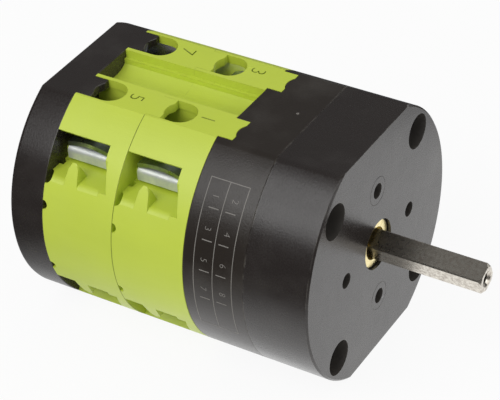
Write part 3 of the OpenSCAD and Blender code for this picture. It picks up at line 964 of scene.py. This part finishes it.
@dataclass
class FaceMarks:
    """Shallow marks that the mould left on the black parts.

    Attributes:
        hole_circle: From the shaft's axis to a panel hole.
        ring: Radius of the witness ring round a hole.
        ring_depth: Half the width of the ring's groove.
        ring_segments: How many sides a ring has.
        dot_place: Place of the round dimple across and along the top.
        dot_radius: Radius of the dimple.
        dot_slope: Share of that radius at the cutter's lower end.
        dot_depth: Depth of the dimple.
        dot_segments: How many sides the dimple has.
    """
    hole_circle: float = 14.0 * MM
    ring: float = 3.2 * MM
    ring_depth: float = 0.07 * MM
    ring_segments: int = 64
    dot_place: tuple[float, float] = (0.85 * MM, 19.2 * MM)
    dot_radius: float = 0.38 * MM
    dot_slope: float = 0.7
    dot_depth: float = 0.12 * MM
    dot_segments: int = 24

    def rings(self, face: float) -> Iterable[bpy.types.Object]:
        """Gives the groove round the top and the bottom panel hole.

        Args:
            face: Place of the front face along the body.

        Yields:
            The ring to cut with.
        """
        for flat in Flat:
            yield groove_ring(self.ring, self.ring_depth, self.ring_segments,
                              (0, face, flat.value * self.hole_circle))

    def dimple(self, flat: float) -> bpy.types.Object:
        """Gives a small round dimple with a sloping wall.

        Args:
            flat: Height of the top flat.

        Returns:
            The cone to cut with.
        """
        bpy.ops.object.select_all(action="DESELECT")
        bpy.ops.mesh.primitive_cone_add(
            vertices=self.dot_segments, radius1=self.dot_radius * self.dot_slope,
            radius2=self.dot_radius, depth=2 * self.dot_depth, location=(*self.dot_place, flat))
        made = bpy.context.object
        settle(made)
        return made


@dataclass
class WellWalls:
    """The walls of the screw wells and the panel holes in the front housing, duller and painted
    lighter than the black body as painted light that stands in for the light falling into the
    bores.

    Attributes:
        well_reach: From the shaft's axis to a screw well, across and up.
        well_radius: Radius of a screw well.
        panel_circle: From the shaft's axis to a panel hole.
        panel_radius: Radius of a panel hole.
        rim: Depth from the face at which the duller skin starts.
        slack: How far past a bore's radius a face may lie and still be its wall.
    """
    well_reach: float = 18.0 * MM
    well_radius: float = 4.0 * MM
    panel_circle: float = 14.0 * MM
    panel_radius: float = 1.75 * MM
    # rim: Depth from the face at which the duller, lighter painted skin starts.
    rim: float = 0.3 * MM
    slack: float = 0.05 * MM

    def bores(self) -> list[Point]:
        """Lists the bores.

        Returns:
            Each bore's place across, its place up and its radius.
        """
        wells = [(x * self.well_reach, z * self.well_reach, self.well_radius)
                 for x in (-1, 1) for z in (-1, 1)]
        panel = [(x * self.panel_circle, z * self.panel_circle, self.panel_radius)
                 for x, z in ((0, 1), (0, -1), (1, 0), (-1, 0))]
        return wells + panel

    def dress(self, shell: bpy.types.Object, library: FinishLibrary) -> None:
        """Gives the shell's faces inside the bores their own finish, painted lighter as painted
        light.

        Args:
            shell: The front housing's shell.
            library: The shared shader node groups.
        """
        shell.data.materials.append(WELL_PAINTED_LIGHT.material(library))
        wall = len(shell.data.materials) - 1
        for face in shell.data.polygons:
            middle = face.center
            if middle.y > self.rim and any(
                    math.hypot(middle.x - x, middle.z - z) < radius + self.slack
                    for x, z, radius in self.bores()):
                face.material_index = wall


@dataclass
class JointLine:
    """The groove round the body where two decks meet, dark from its depth and from painted shade in
    the darker lime of the decks' marks.

    Attributes:
        radius: Radius of the round side.
        depth: Half the width of the line's groove.
        segments: How many sides the line has.
    """
    radius: float
    depth: float = 0.09 * MM
    segments: int = 240

    def cutter(self, joint: float) -> bpy.types.Object:
        """Gives the groove's ring at one joint along the body."""
        return groove_ring(self.radius, self.depth, self.segments, (0, joint, 0))


@dataclass
class RuledLabel:
    """The printed frame on the left round side of the index housing, with plain contact numbers.

    Attributes:
        radius: Radius of the round side.
        front: Front edge of the frame.
        rear: Rear edge of the frame.
        top: Angle of its upper edge over the middle, in degrees.
        foot: Angle of its lower edge, in degrees.
        line: Width of a line.
        lift: Thickness of the ink.
        bend: Length of a straight step round the side, in degrees.
        rows: Rows of numbers.
        first_row: Angle from the upper edge to the first row, in degrees.
        row_step: Angle from row to row, in degrees.
        column: From the frame's middle line to a number's middle.
        figure_size: Type size of the numbers.
        dash_drop: Angle from a row to the dashes under it, in degrees.
        dash_weight: Width of a dash, in lines.
        dash_near: From the middle line to a dash's near end.
        dash_far: From the middle line to its far end.
    """
    radius: float
    front: float = 17.9 * MM
    rear: float = 27.1 * MM
    top: float = 47.0
    foot: float = -20.0
    line: float = 0.18 * MM
    lift: float = 0.015 * MM
    bend: float = 2.0
    rows: int = 4
    first_row: float = 7.0
    row_step: float = 13.0
    column: float = 2.3 * MM
    figure_size: float = 2.2 * MM
    dash_drop: float = 4.5
    dash_weight: float = 1.3
    dash_near: float = 0.8 * MM
    dash_far: float = 3.2 * MM

    def wrapped(self, item: bpy.types.Object) -> bpy.types.Object:
        """Lays a flat mesh, drawn in degrees down and metres across, on the round side.

        Args:
            item: The mesh object.

        Returns:
            The same object.
        """
        for vertex in item.data.vertices:
            down, across, high = vertex.co
            angle = math.radians(self.top - down)
            reach = self.radius + high
            vertex.co = (max(-self.radius, -reach * math.cos(angle)), across,
                         reach * math.sin(angle))
        return item

    def stroke(self, start: float, end: float, low: float, high: float) -> bpy.types.Object:
        """Makes one inked field.

        Args:
            start: Angle of its upper end from the label's top, in degrees.
            end: Angle of its lower end, in degrees.
            low: Its front edge.
            high: Its rear edge.

        Returns:
            The field on the round side.
        """
        bpy.ops.object.select_all(action="DESELECT")
        bpy.ops.mesh.primitive_grid_add(
            x_subdivisions=max(1, round((end - start) / self.bend)), y_subdivisions=1, size=1)
        made = bpy.context.object
        for vertex in made.data.vertices:
            vertex.co = (start + (vertex.co.x + 0.5) * (end - start),
                         low + (vertex.co.y + 0.5) * (high - low), self.lift)
        return self.wrapped(made)

    def figure(self, number: int, down: float, across: float) -> bpy.types.Object:
        """Makes one printed number that reads down the side.

        Args:
            number: The number.
            down: Angle of its middle from the label's top, in degrees.
            across: Place of its middle along the body.

        Returns:
            The number on the round side.
        """
        made = lettered(str(number), self.figure_size, self.lift)
        for vertex in made.data.vertices:
            vertex.co.x = down + math.degrees(vertex.co.x / self.radius)
            vertex.co.y = across - vertex.co.y
            vertex.co.z = self.lift / 2 + vertex.co.z
        return self.wrapped(made)

    def build(self, library: FinishLibrary) -> None:
        """Makes the label as one piece.

        Args:
            library: The shared shader node groups.
        """
        span = self.top - self.foot
        thin = math.degrees(self.line / self.radius)
        middle = (self.front + self.rear) / 2
        lines = [self.stroke(0, span, y - self.line / 2, y + self.line / 2)
                 for y in (self.front, middle, self.rear)]
        lines += [self.stroke(a, a + thin, self.front, self.rear) for a in (0, span - thin)]
        for row in range(self.rows):
            down = self.first_row + row * self.row_step
            dash = down + self.dash_drop
            dash_end = dash + self.dash_weight * thin
            lines += [self.figure(2 * row + 1, down, middle + self.column),
                      self.figure(2 * row + 2, down, middle - self.column),
                      self.stroke(dash, dash_end, middle - self.dash_far, middle - self.dash_near),
                      self.stroke(dash, dash_end, middle + self.dash_near, middle + self.dash_far)]
        pick(*lines)
        bpy.ops.object.join()
        made = bpy.context.object
        made.name = "ruled_label"
        bpy.ops.object.mode_set(mode="EDIT")
        bpy.ops.mesh.select_all(action="SELECT")
        bpy.ops.mesh.normals_make_consistent(inside=False)
        bpy.ops.object.mode_set(mode="OBJECT")
        made.data.materials.clear()
        made.data.materials.append(LABEL_INK.material(library))
        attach(made, "housing")
        LOG.info("label %s with %d faces", made.name, len(made.data.polygons))


@dataclass
class Dresser:
    """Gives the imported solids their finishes.

    Attributes:
        library: The shared shader node groups.
    """
    library: FinishLibrary

    def dress(self, item: bpy.types.Object, finish: Finish) -> None:
        """Puts one material on an object in place of any it has.

        Args:
            item: The object.
            finish: Its finish.
        """
        item.data.materials.clear()
        item.data.materials.append(finish.material(self.library))

    def dress_nodes(self, nodes: dict[str, bpy.types.Object]) -> None:
        """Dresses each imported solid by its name.

        Args:
            nodes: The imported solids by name.
        """
        for name, item in sorted(nodes.items()):
            self.dress(item, finish_for(name))
            LOG.info("dressed %s", name)


def corners_as_lists(box: tuple[Vector, Vector]) -> list[list[float]]:
    """Turns a box into plain lists of numbers."""
    return [[float(v) for v in corner] for corner in box]


def main() -> None:
    """Loads the solids, sets up the studio, dresses the solids and adds the fine detail."""
    logging.basicConfig(level=logging.INFO, format="%(name)s: %(message)s")
    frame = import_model()
    cad_box = corners_as_lists(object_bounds())
    library = FinishLibrary()
    Studio(floor_z=cad_box[0][2]).build()
    nodes = frame["nodes"]
    Dresser(library).dress_nodes(nodes)
    side, flat = cad_box[1][0], cad_box[1][2]
    marks = FaceMarks()
    dot = marks.dimple(flat)
    front_shell = Shell(nodes["front_housing"], BLACK_BODY, "black_plastic").build(
        marks.rings(0.0), library)
    # Painted light: the walls of the wells and panel holes take a lighter colour.
    WellWalls().dress(front_shell, library)
    Shell(nodes["index_housing"], BLACK_INDEX, "black_plastic", LABEL_INK).build([dot], library)
    Shell(nodes["end_plate"], BLACK_BODY, "black_plastic").build([], library)
    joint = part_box("contact_deck_1")[1].y
    line = JointLine(radius=side)
    for number in (1, 2):
        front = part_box(f"contact_deck_{number}")[1].y - DECK_PITCH
        figures = DeckFigures(front, flat, first=4 * number - 3)
        # The decks' figures and joint groove are lined with painted shade.
        Shell(nodes[f"contact_deck_{number}"], LIME_DECK, "lime_plastic", LIME_RECESS_SHADE,
              soft_edge=DECK_EDGE).build([*figures.cutters(), line.cutter(joint)], library)
    RuledLabel(radius=side).build(library)


if __name__ == "__main__":
    main()
